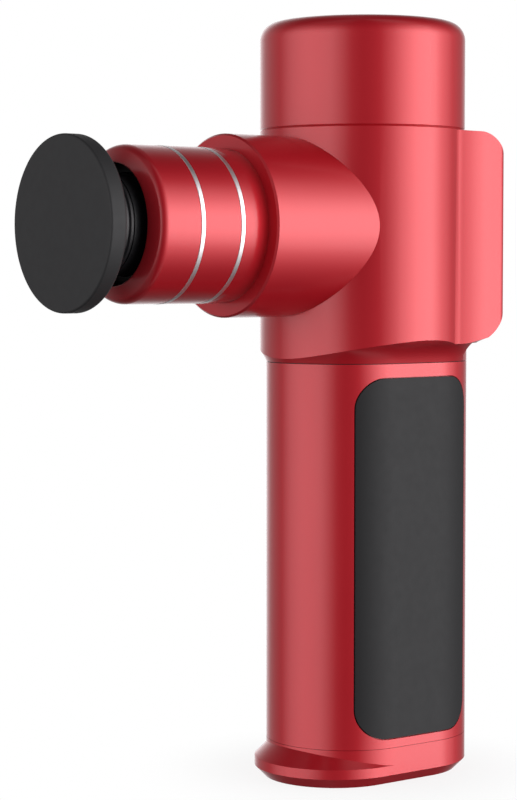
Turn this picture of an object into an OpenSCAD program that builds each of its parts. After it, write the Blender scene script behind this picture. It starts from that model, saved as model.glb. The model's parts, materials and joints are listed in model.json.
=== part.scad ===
// Massage gun: upright handle, motor in the round head, piston through a side barrel.
// Base of the handle is at Z = 0, the applicator points along -Y, and X = 0 is the middle plane.

/* [Handle] */
// Half-width of the handle, also the radius of its round front and back
handle_r = 21.7; // [20:0.1:24]
// Y of the centre of the handle's front arc
handle_front_y = -5.8; // [-8:0.1:-4]
// Y of the centre of the handle's back arc
handle_back_y = 9.6; // [8:0.1:12]
// Height of the bottom cap
base_cap_h = 10.2; // [9:0.1:12]
// Height at which the handle meets the head
neck_z = 113.6; // [113:0.1:118]
// Wall of the handle shell
handle_wall = 2.0; // [1.6:0.1:2.2]
// Bottom of the grip pads
grip_z0 = 12.5; // [12:0.1:16]
// Top of the grip pads
grip_z1 = 109.9; // [104:0.1:111]
// Front edge of the grip pads
grip_y0 = -17.8; // [-20:0.1:-14]
// Back edge of the grip pads
grip_y1 = 21.6; // [18:0.1:23]
// Thickness of the grip pads
grip_t = 1.0; // [0.8:0.1:1.1]
// Corner radius of the grip pads
grip_corner_r = 8.5; // [5:0.5:12]
// How far the lip at the foot stands out in front
lip_out = 4.1; // [2:0.1:5]

/* [Head] */
// Radius of the round head
head_r = 28; // [27.5:0.1:29]
// Wall of the head
head_wall = 2.5; // [2.2:0.1:2.6]
// Height of the seam below the top cap
cap_seam_z = 176.5; // [176:0.1:178]
// Total height
total_h = 205.7; // [205:0.1:208]
// Rounding of the top cap's edge
cap_edge_r = 5; // [3:0.5:6]
// Half-width of the block at the back of the head
fin_half_w = 24.2; // [23:0.1:24.5]
// Y of the flat back face
fin_back_y = 31.7; // [31:0.1:32]
// Top of the back block
fin_top_z = 176.1; // [175:0.1:176.4]

/* [Barrel] */
// Height of the barrel's axis
axis_z = 150; // [149:0.5:151]
// Radius of the collar on the head
collar_r = 24.1; // [23:0.1:25]
// Length from the head's axis to the collar's face
collar_y = 48.2; // [47:0.1:50]
// Radius of the barrel
barrel_r = 20.3; // [20:0.1:21]
// Length from the head's axis to the barrel's front
barrel_y = 83.1; // [82:0.1:84]
// Radius of the barrel's mouth
mouth_r = 15.6; // [15:0.1:16]
// Distances of the two inlaid rings from the head's axis
ring_at = [56.3, 68.8]; // [52:0.1:74]
// Width of the inlaid rings
ring_w = 1.3; // [1:0.1:2]

/* [Applicator] */
// Radius of the applicator disc
disc_r = 22.4; // [20:0.1:25]
// Distance of the disc's front rim from the head's axis
disc_front_y = 98; // [97:0.1:99]
// Distance of the disc's back from the head's axis
disc_back_y = 93; // [92:0.1:94]
// How far the face swells in the middle
dome_h = 0.6; // [0.5:0.1:1.5]

/* [Drive] */
// Half of the stroke, and the offset of the crank pin
crank_r = 4; // [3:0.5:4]
// Radius of the piston
piston_r = 13; // [12.5:0.1:13]
// Radius of the socket for the applicator's stem
socket_r = 8; // [7:0.5:8.5]
// Depth of that socket
socket_depth = 30; // [25:1:30]

/* [Control panel] */
// Height of the power button's centre
power_z = 157; // [156:0.5:158]
// Height of the speed button's centre
speed_z = 143; // [142:0.5:144]
// Radius of the buttons
button_r = 5.5; // [4.5:0.5:5.5]

/* [Hidden] */
$fn = 96;

// Cuts run this far past the solids they cut
over = 1;
// Gap between pieces that are pushed together
fit = 0.05;
// Small chamfer on the edges of a seam
seam_c = 0.3;
handle_mid_y = (handle_front_y + handle_back_y) / 2;
handle_in_r = handle_r - handle_wall;
head_in_r = head_r - head_wall;

// Flare under the head: an arc that leaves the handle steeply and levels out
flare_r = 11;
flare_reach = 10.2;
flare_drop = sqrt(flare_r * flare_r - flare_reach * flare_reach);
head_floor_z = 122;

// Back block
fin_edge_r = 2.5;
fin_top_r = 9.8;
fin_foot_r = 12.5;
fin_foot_z = 118.6;
fin_blend_r = 50;
fin_blend_y1 = sqrt((head_r + fin_blend_r) ^ 2 - (fin_half_w + fin_blend_r) ^ 2);
fin_wall = 2.4;
fin_in_z = [124.5, 171.5];
fin_in_r = 7;

// Inner decks of the head: [bottom, top] of each plate, and the ledges they rest on
mount_z = [168, 172];
rail_plate_z = [132, 136];
ledge_h = 4;
ledge_r = 21.8;
deck_r = head_in_r - 0.2;
deck_screw_at = 23.6;
deck_screw_angles = [-145, -35, 0, 180];

// Barrel
spigot_r = 18.8;
spigot_len = 14;
barrel_bore_r = 17;
lip_len = 4;
barrel_edge_r = 2.6;
barrel_edge_turn = 63;
mouth_chamfer = 0.25;
disc_front_r = 0.6;
disc_rear_r = 1.2;
bush_y = [42, 76];
wiper_y = [76.2, 78.8];

// Piston and yoke
piston_y = [26, 86];
piston_groove_y = 84.8;
piston_rear_r = 9.5;
piston_wall_y = [52, 56];
yoke_flange_t = 3;
yoke_z = [140, 156];
slot_z = 146;
pin_bearing_r = 6;
slot_lag = 1.15;
slot_half = [crank_r + pin_bearing_r + 0.6, pin_bearing_r + slot_lag];
yoke_rim = 3.2;
neck_half_w = 5.5;
neck_floor_z = 143.8;
yoke_screw_at = 11.25;
rail_half_w = 3;
rail_z = 143.4;
rail_y = [-18.3, 18];

// Motor and crank
shaft_r = 2.5;
shaft_z = [162, 198];
bearing_r = 5.5;
bearing_h = 4;
bearing_z = [168.4, 187.8];
tube_r = 7.5;
tube_top_z = 192;
stator_z = [178, 190];
stator_r = 18.5;
teeth = 9;
magnets = 12;
bell_z = [176, 196];
bell_r = 22;
magnet_r = [19, 20.5];
wheel_z = [158, 162];
wheel_r = 17;
hub_top_z = 167;
counterweight_top_z = 164;
pin_r = 3;
pin_z = [146.5, 161.8];

// Battery
cell_r = 9.15;
cell_h = 65;
cell_z = 23.6;
cell_pitch_y = 16.1;
cell_pitch_x = 9.5;
cells = [[0, -cell_pitch_y], [cell_pitch_x, 0], [-cell_pitch_x, 0], [0, cell_pitch_y]];
strip_t = 0.4;
strip_w = 7;
lower_holder_z = [20, 29];
upper_holder_z = [83.6, 92.8];
boss_at = [13, 14.75];
boss_r = 3;
boss_z = 2.45;
seam_gap = 0.2;
foot_chamfer = 2.8;
foot_floor = 2.4;
lip_z = 5.4;
board_z = [13, 14.6];
port_y = 10;

// Control panel
panel_w = 20;
panel_z = [131.5, 165.8];
panel_r = 8;
panel_t = 1.6;
panel_proud = 0.2;
panel_rim = 2;
button_travel = 0.5;
button_proud = 0.7;
light_z = 135.8;
light_pitch = 3.2;
light_r = 0.8;
board_y = [24.5, 26.1];
post_at = [5.6, 150];

red = [0.72, 0.10, 0.13];
black = [0.12, 0.12, 0.13];
steel = [0.75, 0.76, 0.78];
copper = [0.72, 0.42, 0.20];
green = [0.10, 0.32, 0.18];

// ---- shared shapes ----

// Handle outline, grown or shrunk to half-width r
module handle_outline(r) {
    translate([0, handle_front_y]) circle(r);
    translate([0, handle_back_y]) circle(r);
    translate([-r, handle_front_y]) square([2 * r, handle_back_y - handle_front_y]);
}

// Prism of the handle outline between two heights
module handle_prism(r, z0, z1) {
    translate([0, 0, z0]) linear_extrude(z1 - z0) handle_outline(r);
}

// Rectangle with round corners, centred
module round_rect(size, r) {
    inner = size - [2 * r, 2 * r];
    square([size.x, inner.y], center = true);
    square([inner.x, size.y], center = true);
    for (sx = [-1, 1], sy = [-1, 1]) translate([sx * inner.x / 2, sy * inner.y / 2]) circle(r);
}

// Cylinder or tube along -Y on the barrel's axis, from y0 to y1 ahead of the head's axis
module along_barrel(r, y0, y1, bore = 0) {
    translate([0, -y0, axis_z]) rotate([90, 0, 0]) difference() {
        cylinder(r = r, h = y1 - y0);
        if (bore > 0) translate([0, 0, -over]) cylinder(r = bore, h = y1 - y0 + 2 * over);
    }
}

// Profile turned about the barrel's axis: X of the profile is the radius, Y is the distance ahead
module turned_on_barrel() {
    translate([0, 0, axis_z]) rotate([90, 0, 0]) rotate_extrude() children();
}

// Ring about a vertical line
module ring(r, bore, z0, z1) {
    translate([0, 0, z0]) difference() {
        cylinder(r = r, h = z1 - z0);
        translate([0, 0, -over]) cylinder(r = bore, h = z1 - z0 + 2 * over);
    }
}

// Extrudes a Y-Z outline along X, centred
module across(w) {
    translate([-w / 2, 0, 0]) rotate([90, 0, 90]) linear_extrude(w) children();
}

// Screw along +Z with its head at the top end: tip at 0, head from len to len + head_h
module screw(r, len, head_r, head_h) {
    cylinder(r = r, h = len, $fn = 32);
    translate([0, 0, len]) difference() {
        cylinder(r = head_r, h = head_h, $fn = 32);
        translate([0, 0, head_h / 2]) cylinder(r = head_r / 2, h = head_h, $fn = 6);
    }
}

module at_cells() {
    for (c = cells) translate([c.x, handle_mid_y + c.y, 0]) children();
}

module at_bosses() {
    for (sx = [-1, 1], sy = [-1, 1]) translate([sx * boss_at.x, handle_mid_y + sy * boss_at.y, 0]) children();
}

module at_deck_screws() {
    for (a = deck_screw_angles) rotate(a) translate([deck_screw_at, 0, 0]) children();
}

module at_yoke_screws() {
    for (a = [45:90:315]) translate([0, 0, axis_z]) rotate([0, a, 0]) translate([yoke_screw_at, 0, 0])
        rotate([90, 0, 0]) children();
}

// ---- head ----

// Half of the flare's profile: radius against height, cut by the arc
module flare_profile() {
    difference() {
        translate([0, neck_z]) square([handle_r + flare_reach, total_h - neck_z]);
        translate([handle_r + flare_reach, neck_z - flare_drop]) circle(flare_r);
    }
}

// Everything above the flared underside of the head
module above_flare() {
    translate([0, handle_back_y, 0]) rotate_extrude(angle = 180) flare_profile();
    translate([0, handle_front_y, 0]) rotate([0, 0, 180]) rotate_extrude(angle = 180) flare_profile();
    translate([0, handle_back_y, 0]) rotate([90, 0, 0]) linear_extrude(handle_back_y - handle_front_y) {
        flare_profile();
        mirror([1, 0]) flare_profile();
    }
}

// Outline of the back block seen from above, with a hollow blend into the round head
module fin_outline() {
    corner = [fin_half_w - fin_edge_r, fin_back_y - fin_edge_r];
    translate([-corner.x, 0]) square([2 * corner.x, fin_back_y]);
    translate([-fin_half_w, fin_blend_y1]) square([2 * fin_half_w, corner.y - fin_blend_y1]);
    for (s = [-1, 1]) translate([s * corner.x, corner.y]) circle(fin_edge_r);
    difference() {
        translate([-head_in_r, 0]) square([2 * head_in_r, fin_blend_y1]);
        for (s = [-1, 1]) translate([s * (fin_half_w + fin_blend_r), fin_blend_y1]) circle(fin_blend_r);
    }
}

// Side view of the back block: round corners at the back
module fin_side(z0, z1, back_y, r0, r1) {
    translate([0, z0]) square([back_y - r0, z1 - z0]);
    translate([0, z0 + r0]) square([back_y, z1 - z0 - r0 - r1]);
    translate([0, z0]) square([back_y - r1, z1 - z0]);
    translate([back_y - r0, z0 + r0]) circle(r0);
    translate([back_y - r1, z1 - r1]) circle(r1);
}

module fin_block() {
    intersection() {
        translate([0, 0, neck_z]) linear_extrude(fin_top_z - neck_z) fin_outline();
        across(2 * head_r) {
            fin_side(fin_foot_z, fin_top_z, fin_back_y, fin_foot_r, fin_top_r);
            translate([0, neck_z]) square([fin_back_y - fin_foot_r, fin_foot_z - neck_z + over]);
        }
        above_flare();
    }
}

module fin_cavity() {
    back_y = fin_back_y - fin_wall;
    across(2 * (fin_half_w - fin_wall)) fin_side(fin_in_z[0], fin_in_z[1], back_y, fin_in_r, fin_in_r);
}

// Round cavity of the head, stepped by the two ledges
module head_cavity() {
    difference() {
        translate([0, 0, head_floor_z]) cylinder(r = head_in_r, h = total_h - head_floor_z);
        for (z = [mount_z[0], rail_plate_z[0]]) ring(head_in_r + over, ledge_r, z - ledge_h, z);
    }
}

module panel_outline(grow) {
    translate([0, (panel_z[0] + panel_z[1]) / 2])
        round_rect([panel_w + 2 * grow, panel_z[1] - panel_z[0] + 2 * grow], panel_r + grow);
}

// Extrudes an X-Z outline along Y, from y0 to y1
module along_y(y0, y1) {
    translate([0, y1, 0]) rotate([90, 0, 0]) linear_extrude(y1 - y0) children();
}

module head_housing() {
    spigot_z = neck_z - 15.6;
    spigot_out = handle_in_r - 2 * fit;
    neck_bore = spigot_out - 1.8;
    panel_y = fin_back_y + panel_proud - panel_t;
    color(red) difference() {
        union() {
            intersection() {
                translate([0, 0, neck_z]) difference() {
                    cylinder(r = head_r, h = cap_seam_z - neck_z);
                    translate([0, 0, cap_seam_z - neck_z]) rotate_extrude()
                        translate([head_r, 0]) rotate(45) square(seam_c * sqrt(2), center = true);
                }
                above_flare();
            }
            fin_block();
            handle_prism(handle_r, neck_z, head_floor_z);
            handle_prism(spigot_out, spigot_z, neck_z + over);
            turned_on_barrel() difference() {
                square([collar_r, collar_y]);
                translate([collar_r, collar_y]) rotate(45) square(0.5 * sqrt(2), center = true);
            }
        }
        head_cavity();
        fin_cavity();
        handle_prism(neck_bore, spigot_z - over, fin_in_z[0] + over);
        along_barrel(spigot_r + fit, 0, collar_y + over);
        along_y(panel_y, fin_back_y + over) panel_outline(0.1);
        along_y(fin_back_y - fin_wall - over, fin_back_y) panel_outline(-panel_rim);
        at_deck_screws() for (z = [mount_z[0], rail_plate_z[0]])
            translate([0, 0, z - 3.6]) cylinder(r = 0.95, h = 3.6 + over, $fn = 32);
        at_neck_screws() cylinder(r = 1, h = 8, center = true, $fn = 32);
    }
}

module top_cap() {
    spigot_z = mount_z[1] + 2;
    color(red) rotate_extrude() difference() {
        union() {
            translate([0, cap_seam_z]) square([head_r, total_h - cap_edge_r - cap_seam_z]);
            translate([0, cap_seam_z]) square([head_r - cap_edge_r, total_h - cap_seam_z]);
            translate([head_r - cap_edge_r, total_h - cap_edge_r]) circle(cap_edge_r);
            translate([0, spigot_z]) square([head_in_r - fit, cap_seam_z - spigot_z + over]);
        }
        translate([head_r, cap_seam_z]) rotate(45) square(seam_c * sqrt(2), center = true);
        translate([0, cap_seam_z + 2]) square([head_in_r, total_h - cap_seam_z - 2 - 2.8]);
        translate([0, spigot_z - over]) square([bell_r + 1.2, total_h - spigot_z - 2.8 + over - 4]);
        translate([-2 * head_r, 0]) square([2 * head_r, 2 * total_h]);
    }
}

// ---- barrel ----

// The front edge turns in an arc and runs on as a shallow cone to the mouth
module nose_barrel() {
    slope = 1 / tan(barrel_edge_turn);
    turn = barrel_edge_r * [cos(barrel_edge_turn), sin(barrel_edge_turn)];
    edge_x = barrel_r - barrel_edge_r;
    edge = [edge_x, barrel_y - turn.y - slope * (edge_x + turn.x - mouth_r)];
    turned = edge + turn;
    color(red) turned_on_barrel() difference() {
        union() {
            translate([0, collar_y]) square([barrel_r, edge.y - collar_y]);
            translate(edge) circle(barrel_edge_r);
            polygon([[0, edge.y], edge, turned, [mouth_r - over, barrel_y + over * slope], [0, barrel_y]]);
            translate([0, collar_y - spigot_len]) square([spigot_r, spigot_len + over]);
        }
        translate([-barrel_r, 0]) square([barrel_r, 2 * barrel_y]);
        translate([0, collar_y - spigot_len - over])
            square([barrel_bore_r, barrel_y - lip_len - collar_y + spigot_len + over]);
        translate([0, barrel_y - lip_len - over]) square([mouth_r, lip_len + 2 * over]);
        translate([mouth_r, barrel_y]) rotate(45) square(mouth_chamfer * sqrt(2), center = true);
        for (y = ring_at) translate([barrel_r - 0.6, y - ring_w / 2]) square([over, ring_w]);
    }
}

module inlaid_ring(y) {
    color(steel) along_barrel(barrel_r + 0.05, y - ring_w / 2, y + ring_w / 2, barrel_r - 0.6);
}

module ring_rear() { inlaid_ring(ring_at[0]); }

module ring_front() { inlaid_ring(ring_at[1]); }

module piston_bush() {
    color(steel) along_barrel(barrel_bore_r - fit, bush_y[0], bush_y[1], piston_r + fit);
}

module wiper_seal() {
    color(black) along_barrel(barrel_bore_r - fit, wiper_y[0], wiper_y[1], piston_r + 0.3);
}

// ---- control panel ----

module control_panel() {
    y1 = fin_back_y + panel_proud;
    color(black) difference() {
        union() {
            along_y(y1 - panel_t, y1) panel_outline(0);
            for (s = [-1, 1]) translate([s * post_at.x, board_y[1], post_at.y]) rotate([-90, 0, 0])
                cylinder(r = 1.7, h = y1 - panel_t + 0.5 - board_y[1], $fn = 32);
        }
        for (z = [power_z, speed_z]) translate([0, y1 + over, z]) rotate([90, 0, 0])
            cylinder(r = button_r + 0.15, h = panel_t + 2 * over);
        at_lights() translate([0, -over, 0]) rotate([-90, 0, 0])
            cylinder(r = light_r + fit, h = 4 * over + panel_t, $fn = 32);
        for (s = [-1, 1]) translate([s * post_at.x, board_y[1] - over, post_at.y]) rotate([-90, 0, 0])
            cylinder(r = 0.85, h = 3.5 + over, $fn = 32);
    }
}

module at_lights() {
    for (i = [0:3]) translate([(i - 1.5) * light_pitch, fin_back_y + panel_proud - panel_t, light_z])
        children();
}

module indicator_lights() {
    color("white") at_lights() translate([0, -2, 0]) rotate([-90, 0, 0])
        cylinder(r = light_r, h = panel_t + 2.1, $fn = 32);
}

module push_button(z) {
    y1 = fin_back_y + panel_proud;
    color(black) translate([0, y1, z]) rotate([90, 0, 0]) {
        translate([0, 0, -button_proud]) cylinder(r = button_r, h = button_proud + panel_t + 0.3);
        translate([0, 0, panel_t + fit]) cylinder(r = button_r + 0.8, h = 0.8);
        translate([0, 0, panel_t]) cylinder(r = 1.5, h = 1.7, $fn = 32);
    }
}

module power_button() { push_button(power_z); }

module speed_button() { push_button(speed_z); }

module control_board() {
    color(green) difference() {
        union() {
            along_y(board_y[0], board_y[1]) translate([0, (panel_z[0] + panel_z[1]) / 2])
                square([2 * post_at.x + 6, panel_z[1] - panel_z[0] - 4], center = true);
            for (z = [power_z, speed_z]) {
                translate([-3, board_y[1], z - 3]) cube([6, 1.3, 6]);
                translate([0, board_y[1], z]) rotate([-90, 0, 0]) cylinder(r = 1.6, h = 1.8, $fn = 32);
            }
            translate([-8, board_y[0] - 3, light_z - 1]) cube([6, 3, 5]);
        }
        for (s = [-1, 1]) translate([s * post_at.x, board_y[0] - over, post_at.y]) rotate([-90, 0, 0])
            cylinder(r = 1.05, h = 4, $fn = 32);
    }
}

module panel_screws() {
    color(steel) for (s = [-1, 1]) translate([s * post_at.x, board_y[1] + 3, post_at.y]) rotate([90, 0, 0])
        screw(0.8, 3 + board_y[1] - board_y[0], 1.7, 1.2);
}

// ---- handle ----

// Outline of a grip pad seen from the side, shrunk by gap
module grip_outline(gap) {
    translate([(grip_y0 + grip_y1) / 2, (grip_z0 + grip_z1) / 2])
        round_rect([grip_y1 - grip_y0 - 2 * gap, grip_z1 - grip_z0 - 2 * gap], grip_corner_r - gap);
}

// Layer of the handle's skin under a grip pad: side is -1 or 1
module grip_layer(side, depth, rise, gap) {
    intersection() {
        difference() {
            handle_prism(handle_r + rise, base_cap_h, neck_z);
            handle_prism(handle_r - depth, base_cap_h - over, neck_z + over);
        }
        rotate([90, 0, 90]) mirror([0, 0, side < 0 ? 1 : 0])
            linear_extrude(handle_r + over) grip_outline(gap);
    }
}

module at_neck_screws() {
    for (s = [-1, 1], y = [handle_mid_y - 9, handle_mid_y + 9]) translate([s * handle_in_r, y, neck_z - 9.6])
        rotate([0, s * 90, 0]) children();
}

module handle_shell() {
    color(red) difference() {
        handle_prism(handle_r, base_cap_h, neck_z - seam_gap);
        handle_prism(handle_in_r, base_cap_h - over, neck_z + over);
        for (s = [-1, 1]) grip_layer(s, grip_t + fit, over, 0);
        at_neck_screws() cylinder(r = 1.1, h = 8, center = true, $fn = 32);
    }
}

module grip_pad(side) {
    color(black) difference() {
        grip_layer(side, grip_t, 0.05, 0.3);
        at_neck_screws() cylinder(r = 2.3, h = 3, center = true, $fn = 32);
    }
}

module grip_left() { grip_pad(1); }

module grip_right() { grip_pad(-1); }

// Screws under the grip pads, through the shell into the head's neck
module neck_screws() {
    head_z = handle_wall - grip_t - fit;
    color(steel) at_neck_screws() translate([0, 0, -2.5]) screw(0.95, head_z + 2.5, 2, 0.5);
}

module seam_gasket() {
    color(black) difference() {
        handle_prism(handle_r - 0.35, neck_z - seam_gap, neck_z);
        handle_prism(handle_in_r, neck_z - over, neck_z + over);
    }
}

// Half of the foot's profile: chamfered at the ground, drawn in by a cone above lip_z where top is set
module foot_profile(top) {
    polygon([[0, 0], [handle_r - foot_chamfer, 0], [handle_r, foot_chamfer], [handle_r, lip_z],
        [handle_r - top, lip_z + top], [0, lip_z + top]]);
}

// Solid with the foot's profile on the handle's outline, from the arc centred at y0 to the one at y1
module foot_solid(y0, y1, top) {
    for (y = [y0, y1]) translate([0, y, 0]) rotate_extrude() foot_profile(top);
    along_y(y0, y1) {
        foot_profile(top);
        mirror([1, 0]) foot_profile(top);
    }
}

module bottom_cap() {
    color(red) difference() {
        union() {
            handle_prism(handle_r, lip_z, base_cap_h - 0.1);
            foot_solid(handle_front_y, handle_back_y, 0);
            foot_solid(handle_front_y - lip_out, handle_front_y, base_cap_h - 0.3 - lip_z);
        }
        handle_prism(handle_in_r - 0.2, foot_floor, base_cap_h + over);
        at_bosses() translate([0, 0, -over]) cylinder(r = 1.4, h = 6, $fn = 32);
        at_bosses() translate([0, 0, -over]) cylinder(r = 2.6, h = over + 1.2, $fn = 32);
        translate([0, port_y, -over]) linear_extrude(5) round_rect([9.4, 3.7], 1.8);
    }
}

module base_screws() {
    color(steel) at_bosses() translate([0, 0, 14]) rotate([180, 0, 0]) screw(1.2, 12.85, 2.4, 1);
}

// ---- battery and boards ----

module battery_cells() {
    color("royalblue") at_cells() {
        translate([0, 0, cell_z]) cylinder(r = cell_r, h = cell_h - 1);
        translate([0, 0, cell_z + cell_h - 1]) cylinder(r = 3.2, h = 1);
    }
}

// Strip that joins two cells, at height z
module strip(i, j, z, grow) {
    a = cells[i];
    d = cells[j] - a;
    translate([a.x, handle_mid_y + a.y, z - grow]) rotate(atan2(d.y, d.x))
        translate([-strip_w / 2 - grow, -strip_w / 2 - grow, 0])
            cube([norm(d) + strip_w + 2 * grow, strip_w + 2 * grow, strip_t + 2 * grow]);
}

module strips(grow) {
    strip(0, 1, cell_z - strip_t, grow);
    strip(2, 3, cell_z - strip_t, grow);
    strip(0, 2, cell_z + cell_h, grow);
    strip(1, 3, cell_z + cell_h, grow);
}

module nickel_strips() { color(steel) strips(0); }

module cell_holder(z) {
    color(black) difference() {
        handle_prism(handle_in_r - 0.4, z[0], z[1]);
        at_cells() translate([0, 0, cell_z - strip_t]) cylinder(r = cell_r + 0.05, h = cell_h + 2 * strip_t);
        strips(0.1);
        translate([0, 0, cell_z]) cylinder(r = 2, h = cell_h);
    }
}

module cell_holder_upper() { cell_holder(upper_holder_z); }

module cell_holder_lower() {
    difference() {
        union() {
            cell_holder(lower_holder_z);
            color(black) at_bosses() translate([0, 0, boss_z])
                cylinder(r = boss_r, h = lower_holder_z[0] + 0.5 - boss_z);
        }
        at_bosses() cylinder(r = 1.25, h = 16, $fn = 32);
    }
}

module charge_board() {
    color(green) difference() {
        handle_prism(handle_in_r - 2.4, board_z[0], board_z[1]);
        at_bosses() translate([0, 0, board_z[0] - over]) cylinder(r = boss_r + 0.3, h = 3 * over + 1);
    }
    color(black) translate([-6, handle_mid_y + 5, board_z[1]]) cube([12, 8, 3]);
    color(black) translate([-5, handle_mid_y - 12, board_z[1]]) cube([7, 7, 2]);
}

module charge_port() {
    color(steel) translate([0, port_y, 0.7]) linear_extrude(board_z[0] - 0.7) difference() {
        round_rect([9, 3.3], 1.6);
        round_rect([8.4, 2.7], 1.3);
    }
    color(steel) translate([-4.6, port_y - 2, 7.5]) cube([9.2, 4, board_z[0] - 7.5]);
    color(black) translate([-3.2, port_y - 0.35, 1.3]) cube([6.4, 0.7, 7]);
}

// ---- motor ----

module stator_core() {
    color([0.45, 0.45, 0.47]) translate([0, 0, stator_z[0]])
    linear_extrude(stator_z[1] - stator_z[0]) difference() {
        union() {
            circle(tube_r + 2.5);
            for (i = [0:teeth - 1]) rotate(i * 360 / teeth) {
                translate([tube_r, -1.5]) square([stator_r - tube_r - 1, 3]);
                intersection() {
                    circle(stator_r);
                    translate([stator_r - 2.2, -4.6]) square([2.2 + over, 9.2]);
                }
            }
        }
        circle(tube_r);
    }
}

module stator_windings() {
    color(copper) for (i = [0:teeth - 1]) rotate(i * 360 / teeth) difference() {
        translate([tube_r + 3.6, -2.7, stator_z[0] - 1.2]) cube([5, 5.4, stator_z[1] - stator_z[0] + 2.4]);
        translate([tube_r, -1.55, stator_z[0] - 0.05]) cube([12, 3.1, stator_z[1] - stator_z[0] + 0.1]);
    }
}

module motor_mount() {
    color([0.6, 0.6, 0.62]) difference() {
        union() {
            translate([0, 0, mount_z[0]]) cylinder(r = deck_r, h = mount_z[1] - mount_z[0]);
            translate([0, 0, mount_z[0]]) cylinder(r = tube_r + 2.5, h = stator_z[0] - fit - mount_z[0]);
            translate([0, 0, mount_z[0]]) cylinder(r = tube_r, h = tube_top_z - mount_z[0]);
        }
        translate([0, 0, mount_z[0] - over]) cylinder(r = bearing_r - 1.2, h = tube_top_z);
        translate([0, 0, mount_z[0] - over])
            cylinder(r = bearing_r, h = bearing_z[0] + bearing_h - mount_z[0] + over);
        translate([0, 0, bearing_z[1]]) cylinder(r = bearing_r, h = tube_top_z);
        at_deck_screws() translate([0, 0, mount_z[0] - over]) cylinder(r = 1.05, h = 6, $fn = 32);
        translate([-8, 12.5, mount_z[0] - over]) cube([16, 3.5, 6]);
        for (a = [30:60:150]) rotate(a + 180) translate([16, 0, mount_z[0] - over]) cylinder(r = 3, h = 6);
    }
}

module bulkhead_screws() {
    color(steel) at_deck_screws() for (z = [mount_z[1], rail_plate_z[1]])
        translate([0, 0, z - 7]) screw(0.9, 7, 1.6, 1.2);
}

module bearing(z, r, bore, h) {
    color(steel) rotate_extrude() difference() {
        translate([bore, z]) square([r - bore, h]);
        for (zz = [z, z + h]) translate([(r + bore) / 2 - 0.6, zz - 0.3]) square([1.2, 0.6]);
    }
}

module bearing_upper() { bearing(bearing_z[1], bearing_r, shaft_r, bearing_h); }

module bearing_lower() { bearing(bearing_z[0], bearing_r, shaft_r, bearing_h); }

module motor_bell() {
    color([0.3, 0.3, 0.32]) difference() {
        translate([0, 0, bell_z[0]]) cylinder(r = bell_r, h = bell_z[1] - bell_z[0]);
        translate([0, 0, bell_z[0] - over]) cylinder(r = magnet_r[1], h = bell_z[1] - 2 - bell_z[0] + over);
        translate([0, 0, bell_z[1] - 3]) cylinder(r = shaft_r, h = 5);
        for (a = [0:60:300]) rotate(a) translate([12, 0, bell_z[1] - 3]) cylinder(r = 3.4, h = 5);
    }
    color([0.3, 0.3, 0.32]) ring(5.5, shaft_r, bell_z[1], bell_z[1] + 1.5);
}

module rotor_magnets() {
    color(steel) for (i = [0:magnets - 1]) rotate(i * 360 / magnets) translate([0, 0, stator_z[0] - 1])
        rotate_extrude(angle = 27) translate([magnet_r[0], 0])
            square([magnet_r[1] - magnet_r[0], stator_z[1] - stator_z[0] + 2]);
}

module motor_shaft() {
    color(steel) translate([0, 0, shaft_z[0]]) cylinder(r = shaft_r, h = shaft_z[1] - shaft_z[0]);
}

// Crank wheel: the pin is on +X and the counterweight on -X
module crank_wheel() {
    color([0.55, 0.55, 0.58]) difference() {
        union() {
            translate([0, 0, wheel_z[0]]) cylinder(r = wheel_r, h = wheel_z[1] - wheel_z[0]);
            translate([0, 0, wheel_z[1]]) cylinder(r = 6.5, h = hub_top_z - wheel_z[1]);
            translate([0, 0, wheel_z[1] - over]) linear_extrude(counterweight_top_z - wheel_z[1] + over)
                difference() {
                    circle(wheel_r - 0.5);
                    circle(8);
                    translate([-2.5, -wheel_r]) square(2 * wheel_r);
                }
        }
        translate([0, 0, shaft_z[0]]) cylinder(r = shaft_r, h = hub_top_z);
        translate([crank_r, 0, wheel_z[0] - over]) cylinder(r = pin_r, h = over + pin_z[1] - wheel_z[0]);
        for (a = [-40, 40]) rotate(a) translate([12, 0, wheel_z[0] - over]) cylinder(r = 3.2, h = 8);
        translate([0, 0, (wheel_z[1] + hub_top_z) / 2]) rotate([0, 90, 0])
            cylinder(r = 1.1, h = 10, $fn = 32);
    }
}

module grub_screw() {
    color(steel) translate([shaft_r, 0, (wheel_z[1] + hub_top_z) / 2]) rotate([0, 90, 0])
        cylinder(r = 1.05, h = 3.5, $fn = 32);
}

module crank_pin() {
    color(steel) translate([crank_r, 0, 0]) {
        translate([0, 0, pin_z[0]]) cylinder(r = pin_r, h = pin_z[1] - pin_z[0]);
        translate([0, 0, wheel_z[0] - 3.6]) cylinder(r = pin_r + 1, h = 3.6);
    }
}

module pin_bearing() {
    h = wheel_z[0] - 3.8 - (pin_z[0] + 0.4);
    translate([crank_r, 0, 0]) bearing(pin_z[0] + 0.4, pin_bearing_r, pin_r, h);
}

module motor_leads() {
    lead_r = 0.75;
    y0 = 14.2;
    y1 = 21;
    z0 = mount_z[0] - 2;
    z1 = 160;
    color("gold") for (x = [-5, 0, 5]) translate([x, 0, 0]) {
        translate([0, y0, z0]) cylinder(r = lead_r, h = stator_z[0] - 1.5 - z0, $fn = 24);
        translate([0, y0, z0]) sphere(lead_r, $fn = 24);
        translate([0, y0, z0]) rotate([-90, 0, 0]) cylinder(r = lead_r, h = y1 - y0, $fn = 24);
        translate([0, y1, z0]) sphere(lead_r, $fn = 24);
        translate([0, y1, z1]) cylinder(r = lead_r, h = z0 - z1, $fn = 24);
        translate([0, y1, z1]) sphere(lead_r, $fn = 24);
        translate([0, y1, z1]) rotate([-90, 0, 0]) cylinder(r = lead_r, h = board_y[0] - y1, $fn = 24);
    }
}

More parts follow.
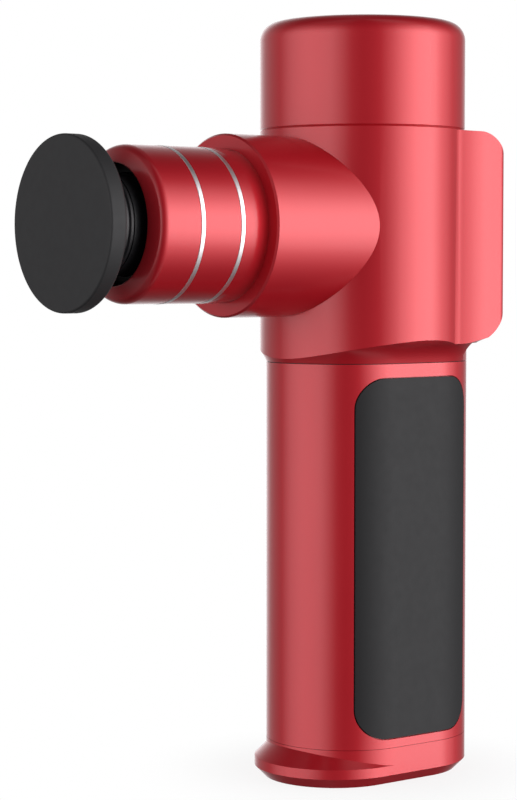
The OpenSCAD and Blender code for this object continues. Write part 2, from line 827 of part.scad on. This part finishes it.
module battery_leads() {
    lead_r = 0.9;
    y0 = 19.5;
    z1 = 141;
    color("red") for (x = [-5, 5]) translate([x, y0, 0]) {
        translate([0, 0, upper_holder_z[1]]) cylinder(r = lead_r, h = z1 - upper_holder_z[1], $fn = 24);
        translate([0, 0, z1]) sphere(lead_r, $fn = 24);
        translate([0, 0, z1]) rotate([-90, 0, 0]) cylinder(r = lead_r, h = board_y[0] - y0, $fn = 24);
    }
}

// ---- guide rail, yoke and piston ----

module rail_plate() {
    color([0.6, 0.6, 0.62]) difference() {
        translate([0, 0, rail_plate_z[0]]) cylinder(r = deck_r, h = rail_plate_z[1] - rail_plate_z[0]);
        translate([-head_r, 17, rail_plate_z[0] - over]) cube([2 * head_r, head_r, 6]);
        at_deck_screws() translate([0, 0, rail_plate_z[0] - over]) cylinder(r = 1.05, h = 6, $fn = 32);
        for (y = [-12, 12]) translate([0, y, rail_plate_z[0] - over]) cylinder(r = 1.3, h = 6, $fn = 32);
        along_barrel(piston_r + 1.5, 15, head_r);
        for (s = [-1, 1]) translate([s * 12, 0, rail_plate_z[0] - over]) cylinder(r = 4, h = 6);
    }
}

module guide_rail() {
    color(steel) difference() {
        translate([-rail_half_w, rail_y[0], rail_plate_z[1]])
            cube([2 * rail_half_w, rail_y[1] - 1 - rail_y[0], rail_z - rail_plate_z[1]]);
        for (y = [-12, 12]) translate([0, y, rail_plate_z[1] - over])
            cylinder(r = 1.3, h = over + 4.5, $fn = 32);
    }
}

module rail_screws() {
    color(steel) for (y = [-12, 12]) translate([0, y, rail_plate_z[1] + 4]) rotate([180, 0, 0])
        screw(1.2, 4 + rail_plate_z[1] - rail_plate_z[0], 2.4, 1.4);
}

module yoke() {
    body_half = slot_half + [yoke_rim, yoke_rim];
    y_face = piston_y[0] - yoke_flange_t;
    color([0.62, 0.64, 0.66]) difference() {
        union() {
            translate([-body_half.x, -body_half.y, yoke_z[0]])
                cube([2 * body_half.x, 2 * body_half.y, yoke_z[1] - yoke_z[0]]);
            translate([-neck_half_w, -y_face - over, neck_floor_z])
                cube([2 * neck_half_w, y_face, yoke_z[1] - neck_floor_z]);
            along_barrel(piston_r - 0.6, y_face, piston_y[0]);
        }
        translate([-slot_half.x, -slot_half.y, slot_z]) cube([2 * slot_half.x, 2 * slot_half.y, 20]);
        translate([-rail_half_w - 0.1, -y_face + 0.5, yoke_z[0] - over])
            cube([2 * rail_half_w + 0.2, 2 * y_face, over + rail_z + 0.1 - yoke_z[0]]);
        at_yoke_screws() translate([0, 0, y_face - over]) cylinder(r = 1.05, h = 6, $fn = 32);
    }
}

module piston_tube() {
    color(black) difference() {
        turned_on_barrel() difference() {
            translate([0, piston_y[0]]) square([piston_r, piston_y[1] - piston_y[0]]);
            translate([0, piston_y[0] - over]) square([piston_rear_r, piston_wall_y[0] - piston_y[0] + over]);
            translate([0, piston_wall_y[1]]) square([socket_r, piston_y[1]]);
            translate([piston_r - 0.35, piston_groove_y - 0.2]) square([over, 0.4]);
            translate([piston_r, piston_y[1]]) rotate(45) square(0.35 * sqrt(2), center = true);
            translate([socket_r, piston_y[1]]) rotate(45) square(0.4 * sqrt(2), center = true);
        }
        at_yoke_screws() translate([0, 0, piston_y[0] - over]) cylinder(r = 1.05, h = 7.2, $fn = 32);
    }
}

module yoke_screws() {
    tip_y = 32;
    color(steel) at_yoke_screws() translate([0, 0, tip_y]) rotate([180, 0, 0])
        screw(1, tip_y - piston_y[0] + yoke_flange_t, 1.8, 1.4);
}

// ---- applicator ----

module applicator_disc() {
    flat_r = disc_r - disc_front_r;
    face_r = (flat_r * flat_r + dome_h * dome_h) / (2 * dome_h);
    color(black) turned_on_barrel() difference() {
        union() {
            translate([0, disc_back_y]) square([disc_r - disc_rear_r, disc_front_y - disc_back_y]);
            translate([0, disc_back_y + disc_rear_r])
                square([disc_r, disc_front_y - disc_front_r - disc_back_y - disc_rear_r]);
            translate([0, disc_front_y - disc_front_r - over]) square([flat_r, disc_front_r + over]);
            translate([disc_r - disc_rear_r, disc_back_y + disc_rear_r]) circle(disc_rear_r);
            translate([flat_r, disc_front_y - disc_front_r]) circle(disc_front_r);
            intersection() {
                translate([0, disc_front_y + dome_h - face_r]) circle(face_r, $fn = 256);
                translate([0, disc_front_y - over]) square([flat_r, 4 * over]);
            }
        }
        translate([-disc_r, 0]) square([disc_r, 2 * barrel_y]);
        translate([0, disc_back_y - over]) square([socket_r - fit, 3 + over]);
    }
}

module applicator_hub() {
    stem_y0 = piston_y[1] - socket_depth + 2;
    color(black) turned_on_barrel() difference() {
        union() {
            translate([0, piston_y[1] + 0.1]) square([piston_r, disc_back_y - piston_y[1] - 0.1]);
            translate([0, stem_y0]) square([socket_r - fit, disc_back_y + 3 - stem_y0]);
        }
        translate([piston_r, piston_y[1] + 0.1]) rotate(45) square(0.35 * sqrt(2), center = true);
        translate([socket_r - fit, stem_y0]) rotate(45) square(sqrt(2), center = true);
        for (y = stem_ring_y()) translate([socket_r - 1.2, y - 0.9]) square([2, 1.8]);
    }
}

function stem_ring_y() = [piston_y[1] - 20, piston_y[1] - 8];

module stem_rings() {
    color(black) turned_on_barrel() for (y = stem_ring_y())
        translate([socket_r - 1.2 + 0.58, y]) circle(0.58, $fn = 24);
}

top_cap();
head_housing();
nose_barrel();
ring_rear();
ring_front();
piston_bush();
wiper_seal();
control_panel();
indicator_lights();
control_board();
panel_screws();
handle_shell();
grip_left();
grip_right();
neck_screws();
seam_gasket();
bottom_cap();
base_screws();
battery_cells();
cell_holder_upper();
cell_holder_lower();
nickel_strips();
charge_board();
charge_port();
stator_core();
stator_windings();
motor_mount();
bulkhead_screws();
bearing_upper();
bearing_lower();
rail_plate();
guide_rail();
rail_screws();
motor_leads();
battery_leads();
motor_bell();
rotor_magnets();
motor_shaft();
crank_wheel();
grub_screw();
crank_pin();
pin_bearing();
yoke();
piston_tube();
yoke_screws();
applicator_disc();
applicator_hub();
stem_rings();
power_button();
speed_button();
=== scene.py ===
"""Looks of the massage gun: pieces, materials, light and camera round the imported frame."""

import json
import math

import bpy
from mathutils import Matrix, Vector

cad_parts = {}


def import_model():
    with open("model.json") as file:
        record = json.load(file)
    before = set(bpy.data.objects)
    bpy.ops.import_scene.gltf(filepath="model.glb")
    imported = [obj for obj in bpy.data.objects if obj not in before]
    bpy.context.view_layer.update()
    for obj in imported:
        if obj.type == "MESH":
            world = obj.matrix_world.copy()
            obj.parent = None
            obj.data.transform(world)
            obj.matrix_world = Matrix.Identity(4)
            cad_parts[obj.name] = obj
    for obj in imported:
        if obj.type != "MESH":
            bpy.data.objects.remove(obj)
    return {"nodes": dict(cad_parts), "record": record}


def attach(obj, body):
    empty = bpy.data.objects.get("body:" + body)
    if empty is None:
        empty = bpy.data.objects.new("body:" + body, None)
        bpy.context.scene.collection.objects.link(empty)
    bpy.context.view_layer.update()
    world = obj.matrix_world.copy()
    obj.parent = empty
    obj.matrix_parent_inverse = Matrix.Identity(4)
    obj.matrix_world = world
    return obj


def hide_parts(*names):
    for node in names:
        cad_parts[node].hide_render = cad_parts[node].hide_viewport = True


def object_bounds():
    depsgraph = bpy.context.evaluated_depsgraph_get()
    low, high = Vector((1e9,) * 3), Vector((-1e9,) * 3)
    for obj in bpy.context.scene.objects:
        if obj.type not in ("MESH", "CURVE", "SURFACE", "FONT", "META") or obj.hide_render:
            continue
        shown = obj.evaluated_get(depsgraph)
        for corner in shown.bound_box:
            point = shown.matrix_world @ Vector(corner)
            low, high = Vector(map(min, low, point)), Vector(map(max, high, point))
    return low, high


MM = 0.001
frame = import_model()
cad_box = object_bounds()
nodes = frame["nodes"]
slots = {part["node"]: part["material_slot"] for part in frame["record"]["subparts"]}


# ---- materials ----

def new_material(name, color, metallic=0.0, roughness=0.5, **sockets):
    """A node material with its uniform values on the Principled sockets."""
    mat = bpy.data.materials.new(name)
    mat.use_nodes = True
    shader = mat.node_tree.nodes["Principled BSDF"]
    shader.inputs["Base Color"].default_value = (*color, 1)
    shader.inputs["Metallic"].default_value = metallic
    shader.inputs["Roughness"].default_value = roughness
    for socket, value in sockets.items():
        shader.inputs[socket.replace("_", " ")].default_value = value
    return mat


def drive(mat, socket, output):
    """Lets a node's output set one socket of the material's shader."""
    mat.node_tree.links.new(output, mat.node_tree.nodes["Principled BSDF"].inputs[socket])


def noise(mat, scale, detail=2.0):
    """Noise over the object's own coordinates; scale is in cycles per metre."""
    tree = mat.node_tree
    coords = tree.nodes.new("ShaderNodeTexCoord")
    tex = tree.nodes.new("ShaderNodeTexNoise")
    tex.inputs["Scale"].default_value = scale
    tex.inputs["Detail"].default_value = detail
    tree.links.new(coords.outputs["Object"], tex.inputs["Vector"])
    return tex.outputs["Fac"]


def vary_color(mat, scale, low, high):
    """Base colour drifts between two close colours over the middle of the noise's range."""
    tree = mat.node_tree
    ramp = tree.nodes.new("ShaderNodeValToRGB")
    for element, position, color in zip(ramp.color_ramp.elements, (0.35, 0.65), (low, high)):
        element.position = position
        element.color = (*color, 1)
    tree.links.new(noise(mat, scale), ramp.inputs["Fac"])
    drive(mat, "Base Color", ramp.outputs["Color"])


def vary_roughness(mat, scale, low, high):
    """Roughness wanders between low and high."""
    tree = mat.node_tree
    span = tree.nodes.new("ShaderNodeMapRange")
    span.inputs["To Min"].default_value = low
    span.inputs["To Max"].default_value = high
    tree.links.new(noise(mat, scale, detail=4.0), span.inputs["Value"])
    drive(mat, "Roughness", span.outputs["Result"])


def add_bump(mat, scale, depth):
    """Fine surface grain; depth is in metres."""
    tree = mat.node_tree
    bump = tree.nodes.new("ShaderNodeBump")
    bump.inputs["Strength"].default_value = 1.0
    bump.inputs["Distance"].default_value = depth
    tree.links.new(noise(mat, scale), bump.inputs["Height"])
    drive(mat, "Normal", bump.outputs["Normal"])


def red_anodised():
    """Satin red anodising: a rough metal under a smoother clear coat."""
    mat = new_material("red_anodised", (0.56, 0.007, 0.018), metallic=0.6,
                       Coat_Weight=1.0, Coat_Roughness=0.16)
    vary_color(mat, 30, (0.55, 0.006, 0.017), (0.57, 0.008, 0.019))
    vary_roughness(mat, 900, 0.50, 0.54)
    return mat


def plastic(name, color, roughness, spread=0.05, grain=0.0, **sockets):
    """Moulded plastic or rubber with uneven gloss and a fine grain."""
    mat = new_material(name, color, roughness=roughness, **sockets)
    vary_roughness(mat, 400, roughness - spread, roughness + spread)
    if grain:
        add_bump(mat, 3000, grain)
    return mat


def metal(name, color, roughness):
    """Bare metal with faint gloss variation."""
    mat = new_material(name, color, metallic=1.0, roughness=roughness)
    vary_roughness(mat, 700, roughness - 0.04, roughness + 0.04)
    return mat


MATERIALS = {
    "body_red": red_anodised(),
    "ring_silver": metal("ring_silver", (0.92, 0.88, 0.89), 0.36),
    "silicone_black": plastic("silicone_black", (0.014, 0.014, 0.015), 0.55, grain=6e-6,
                              Specular_IOR_Level=0.3),
    "pad_black": plastic("pad_black", (0.020, 0.020, 0.021), 0.60, grain=8e-6,
                         Specular_IOR_Level=0.4),
    "hub_black": plastic("hub_black", (0.018, 0.018, 0.020), 0.35),
    "piston_black": plastic("piston_black", (0.015, 0.015, 0.017), 0.32),
    "panel_gloss": plastic("panel_gloss", (0.010, 0.010, 0.012), 0.14, spread=0.02),
    "button_black": plastic("button_black", (0.030, 0.030, 0.033), 0.40, grain=4e-6),
    "light_white": plastic("light_white", (0.80, 0.82, 0.85), 0.35),
    "board_green": plastic("board_green", (0.02, 0.10, 0.04), 0.35),
    "steel_fastener": metal("steel_fastener", (0.45, 0.45, 0.47), 0.30),
    "steel_ground": metal("steel_ground", (0.62, 0.62, 0.64), 0.18),
    "bush_bronze": metal("bush_bronze", (0.55, 0.36, 0.18), 0.34),
    "cell_wrap": plastic("cell_wrap", (0.05, 0.16, 0.42), 0.30),
    "holder_black": plastic("holder_black", (0.03, 0.03, 0.03), 0.55),
    "nickel": metal("nickel", (0.66, 0.63, 0.58), 0.28),
    "stator_steel": metal("stator_steel", (0.30, 0.30, 0.32), 0.42),
    "copper": metal("copper", (0.72, 0.33, 0.16), 0.26),
    "magnet": metal("magnet", (0.48, 0.48, 0.50), 0.30),
    "cast_alloy": metal("cast_alloy", (0.52, 0.53, 0.55), 0.46),
    "bell_grey": metal("bell_grey", (0.20, 0.20, 0.22), 0.38),
    "crank_steel": metal("crank_steel", (0.42, 0.42, 0.44), 0.34),
    "lead_yellow": plastic("lead_yellow", (0.75, 0.50, 0.04), 0.45),
    "lead_red": plastic("lead_red", (0.60, 0.03, 0.03), 0.45),
}


def dress(obj, slot):
    """The slot's material and smooth shading."""
    obj.data.materials.clear()
    obj.data.materials.append(MATERIALS[slot])
    for polygon in obj.data.polygons:
        polygon.use_smooth = True


def crease(obj):
    """Joins the faces' shared borders and keeps only edges sharper than 25 degrees."""
    obj.modifiers.new("weld", "WELD").merge_threshold = 2e-6
    obj.modifiers.new("creases", "EDGE_SPLIT").split_angle = math.radians(25)


for name, node in nodes.items():
    dress(node, slots[name])
for name in ("head_housing", "bottom_cap"):
    crease(nodes[name])


# ---- pieces modelled here, in mm: radius, and distance ahead of the handle's axis ----

AXIS_Z = 150        # height of the barrel's axis
TURNS = 192         # facets round a turned piece
REAR_RING, FRONT_RING = 56.3, 68.8
CORNER = 0.12       # soft corners of the rings and their grooves


def arc(cx, cy, r, start, end, steps):
    """Points of an arc, angles in degrees."""
    angles = [math.radians(start + (end - start) * i / steps) for i in range(steps + 1)]
    return [(cx + r * math.cos(a), cy + r * math.sin(a)) for a in angles]


def lathe(name, profile, body, stands_for):
    """Closed profile of (radius, distance ahead) points, turned, riding on body for a CAD node."""
    verts, faces = [], []
    count = len(profile)
    on_axis = [r < 1e-6 for r, _ in profile]
    for i in range(TURNS):
        a = 2 * math.pi * i / TURNS
        verts += [(r * math.sin(a) * MM, -ahead * MM, (AXIS_Z + r * math.cos(a)) * MM)
                  for r, ahead in profile]
        here, there = i * count, (i + 1) % TURNS * count
        for j in range(count):
            k = (j + 1) % count
            quad = [here + j, here + k, there + k, there + j]
            if on_axis[j] and on_axis[k]:
                continue
            if on_axis[j]:
                quad.pop(3)
            elif on_axis[k]:
                quad.pop(2)
            faces.append(quad)
    mesh = bpy.data.meshes.new(name)
    mesh.from_pydata(verts, [], faces)
    mesh.validate()
    obj = bpy.data.objects.new(name, mesh)
    bpy.context.scene.collection.objects.link(obj)
    slot = slots[stands_for]
    dress(obj, slot)
    obj.modifiers.new("normals", "WEIGHTED_NORMAL").keep_sharp = True
    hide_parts(stands_for)
    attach(obj, body)


def barrel_profile():
    """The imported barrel's section: its front edge turns into a shallow cone, with soft corners."""
    bore_r, root_r, shell_r, mouth_r = 17.0, 18.8, 20.3, 15.6
    root, shoulder, mouth, front = 34.2, 48.2, 79.1, 83.1
    groove_r, groove_half = 19.72, 0.65
    edge_r, cone, lip_r, lip_back = 2.6, 63, 0.35, 0.55
    slope = math.radians(cone)
    turned_r = shell_r - edge_r + edge_r * math.cos(slope)
    edge = front - edge_r * math.sin(slope) - (turned_r - mouth_r) / math.tan(slope)
    points = [(bore_r, root), (root_r, root), (root_r, shoulder), (shell_r, shoulder)]
    for at in (REAR_RING, FRONT_RING):
        rear = [(shell_r, -groove_half - CORNER), (shell_r - CORNER, -groove_half),
                (groove_r, -groove_half)]
        points += [(r, at + y) for r, y in rear] + [(r, at - y) for r, y in reversed(rear)]
    points += arc(shell_r - edge_r, edge, edge_r, 0, cone, 10)
    points += arc(mouth_r + lip_r, front - lip_back, lip_r, cone, 180, 5)
    return points + [(mouth_r, mouth), (bore_r, mouth)]


def ring_profile(at):
    """Inlaid ring, barely proud, with softened outer corners."""
    inner_r, outer_r, half = 19.75, 20.36, 0.62
    corner_r = outer_r - CORNER
    return ([(inner_r, at - half)]
            + arc(corner_r, at - half + CORNER, CORNER, -90, 0, 3)
            + arc(corner_r, at + half - CORNER, CORNER, 0, 90, 3)
            + [(inner_r, at + half)])


def disc_profile():
    """Flat applicator: slightly domed face, crisp front edge, softer back edge."""
    outer_r, dome, rows = 22.4, 0.6, 14
    face, edge, back, seat, socket = 98.6, 98.0, 93.0, 92.8, 96.0
    front_r, rear_r = 0.6, 1.2
    seat_r, socket_r = 13.0, 7.95
    flat_r = outer_r - front_r
    # The dome's rim is the first point of the front edge's arc
    points = [(flat_r * i / rows, face - dome * (i / rows) ** 2) for i in range(rows)]
    points += arc(flat_r, edge - front_r, front_r, 90, 0, 6)
    points += arc(outer_r - rear_r, back + rear_r, rear_r, 0, -90, 8)
    return points + [(seat_r + 0.6, back), (seat_r, seat), (socket_r + 0.25, seat),
                     (socket_r, back), (socket_r, socket), (0, socket)]


def hub_profile():
    """Hub behind the disc with its stem; the two stem grooves stay."""
    hub_r, stem_r, groove_r, groove_half = 13.0, 7.9, 6.8, 0.9
    spigot, face, back, tip = 95.95, 92.9, 86.12, 58.0
    points = [(0, spigot), (stem_r, spigot), (stem_r, face), (hub_r - 0.4, face),
              (hub_r, face - 0.3), (hub_r, back + 0.33), (hub_r - 0.35, back), (stem_r, back)]
    for at in (78, 66):
        points += [(stem_r, at + groove_half), (groove_r, at + groove_half),
                   (groove_r, at - groove_half), (stem_r, at - groove_half)]
    return points + [(stem_r, tip + 1), (stem_r - 0.95, tip), (0, tip)]


lathe("barrel_skin", barrel_profile(), "housing", "nose_barrel")
lathe("ring_rear_skin", ring_profile(REAR_RING), "housing", "ring_rear")
lathe("ring_front_skin", ring_profile(FRONT_RING), "housing", "ring_front")
lathe("disc_skin", disc_profile(), "applicator", "applicator_disc")
lathe("hub_skin", hub_profile(), "applicator", "applicator_hub")


# ---- floor, light and camera ----

AZIMUTH = math.radians(49.762)      # the photo's viewing angle, round from the front

# The studio round the object: degrees to the right of the camera's side, and brightness
STUDIO = [(-180, 1.1), (-165, 1.3), (-140, 0.5), (-104, 0.25), (-84, 1.45), (-66, 1.95),
          (-36, 1.95), (-24, 1.15), (-12, 0.2), (0, 0.06), (20, 0.12), (34, 1.15), (48, 2.6),
          (64, 3.95), (84, 3.95), (100, 1.4), (120, 0.25), (145, 0.2), (165, 0.6), (180, 0.9)]
# Its brightness factor by height: sine of the elevation, and factor
HEIGHT = [(-1.0, 0.09), (-0.75, 0.09), (-0.6, 0.16), (-0.45, 0.33), (-0.3, 0.7), (-0.1, 1.0),
          (0.2, 1.0), (0.36, 0.78), (0.5, 0.5), (0.66, 0.3), (0.76, 0.12), (1.0, 0.11)]


def floor():
    """Pale floor that fades out before its edge, so that no horizon shows."""
    bpy.ops.mesh.primitive_plane_add(size=1.2, location=(0, 0, cad_box[0][2]))
    ground = bpy.context.object
    ground.name = "floor"
    mat = new_material("floor_white", (0.92, 0.92, 0.92), roughness=0.9)
    tree = mat.node_tree
    coords = tree.nodes.new("ShaderNodeTexCoord")
    length = tree.nodes.new("ShaderNodeVectorMath")
    length.operation = "LENGTH"
    fade = tree.nodes.new("ShaderNodeMapRange")
    fade.interpolation_type = "SMOOTHSTEP"
    for socket, value in (("From Min", 0.01), ("From Max", 0.065), ("To Min", 0.15),
                          ("To Max", 0.0)):
        fade.inputs[socket].default_value = value
    tree.links.new(coords.outputs["Object"], length.inputs[0])
    tree.links.new(length.outputs["Value"], fade.inputs["Value"])
    drive(mat, "Alpha", fade.outputs["Result"])
    ground.data.materials.append(mat)


def calculate(tree, operation, *values):
    """Output of a Math node fed with numbers or with other nodes' outputs."""
    node = tree.nodes.new("ShaderNodeMath")
    node.operation = operation
    for socket, value in zip(node.inputs, values):
        if isinstance(value, (int, float)):
            socket.default_value = value
        else:
            tree.links.new(value, socket)
    return node.outputs[0]


def brightness(tree, value, reach, stops, top):
    """Grey by a value from -reach to reach: its stops span that range, with top as white."""
    unit = tree.nodes.new("ShaderNodeMapRange")
    unit.inputs["From Min"].default_value = -reach
    unit.inputs["From Max"].default_value = reach
    tree.links.new(value, unit.inputs["Value"])
    node = tree.nodes.new("ShaderNodeValToRGB")
    ramp = node.color_ramp
    ramp.interpolation = "LINEAR"
    while len(ramp.elements) < len(stops):
        ramp.elements.new(0.5)
    low, high = stops[0][0], stops[-1][0]
    # Positions come first, since moving an element can change their order
    for element, (at, _) in zip(ramp.elements, stops):
        element.position = (at - low) / (high - low)
    for element, (_, bright) in zip(ramp.elements, stops):
        element.color = (*[bright / top] * 3, 1)
    tree.links.new(unit.outputs["Result"], node.inputs["Fac"])
    return node.outputs["Color"]


def world():
    """Two tall softboxes beside the object as a gradient; the camera sees plain white."""
    studio_world = bpy.data.worlds.new("studio")
    bpy.context.scene.world = studio_world
    studio_world.use_nodes = True
    tree = studio_world.node_tree
    link = tree.links.new
    coords = tree.nodes.new("ShaderNodeTexCoord")
    direction = tree.nodes.new("ShaderNodeSeparateXYZ")
    link(coords.outputs["Generated"], direction.inputs[0])
    angle = calculate(tree, "ARCTAN2", direction.outputs["Y"], direction.outputs["X"])
    turned = calculate(tree, "ADD", angle, math.pi / 2 - AZIMUTH)
    wrapped = calculate(tree, "WRAP", turned, math.pi, -math.pi)
    top = max(bright for _, bright in STUDIO)
    around = brightness(tree, wrapped, math.pi, STUDIO, top)
    height = brightness(tree, direction.outputs["Z"], 1, HEIGHT, 1)
    both = calculate(tree, "MULTIPLY", around, height)
    studio = tree.nodes["Background"]
    studio.inputs["Color"].default_value = (1, 0.985, 1, 1)
    link(calculate(tree, "MULTIPLY", both, top), studio.inputs["Strength"])
    paper = tree.nodes.new("ShaderNodeBackground")
    paper.inputs["Color"].default_value = (1, 1, 1, 1)
    path = tree.nodes.new("ShaderNodeLightPath")
    mix = tree.nodes.new("ShaderNodeMixShader")
    link(path.outputs["Is Camera Ray"], mix.inputs["Fac"])
    link(studio.outputs[0], mix.inputs[1])
    link(paper.outputs[0], mix.inputs[2])
    link(mix.outputs[0], tree.nodes["World Output"].inputs["Surface"])


def camera():
    """The photo's viewing angle: distances in metres, lens in mm."""
    distance, height, lens = 0.640, 0.13872, 104.47
    pitch, yaw = math.radians(3.23), math.radians(2.546)
    data = bpy.data.cameras.new("camera")
    data.lens = lens
    cam = bpy.data.objects.new("camera", data)
    bpy.context.scene.collection.objects.link(cam)
    cam.location = (distance * math.sin(AZIMUTH), -distance * math.cos(AZIMUTH), height)
    cam.rotation_euler = (math.pi / 2 - pitch, 0, AZIMUTH + yaw)
    bpy.context.scene.camera = cam


floor()
world()
camera()
bpy.context.scene.view_settings.view_transform = "Standard"
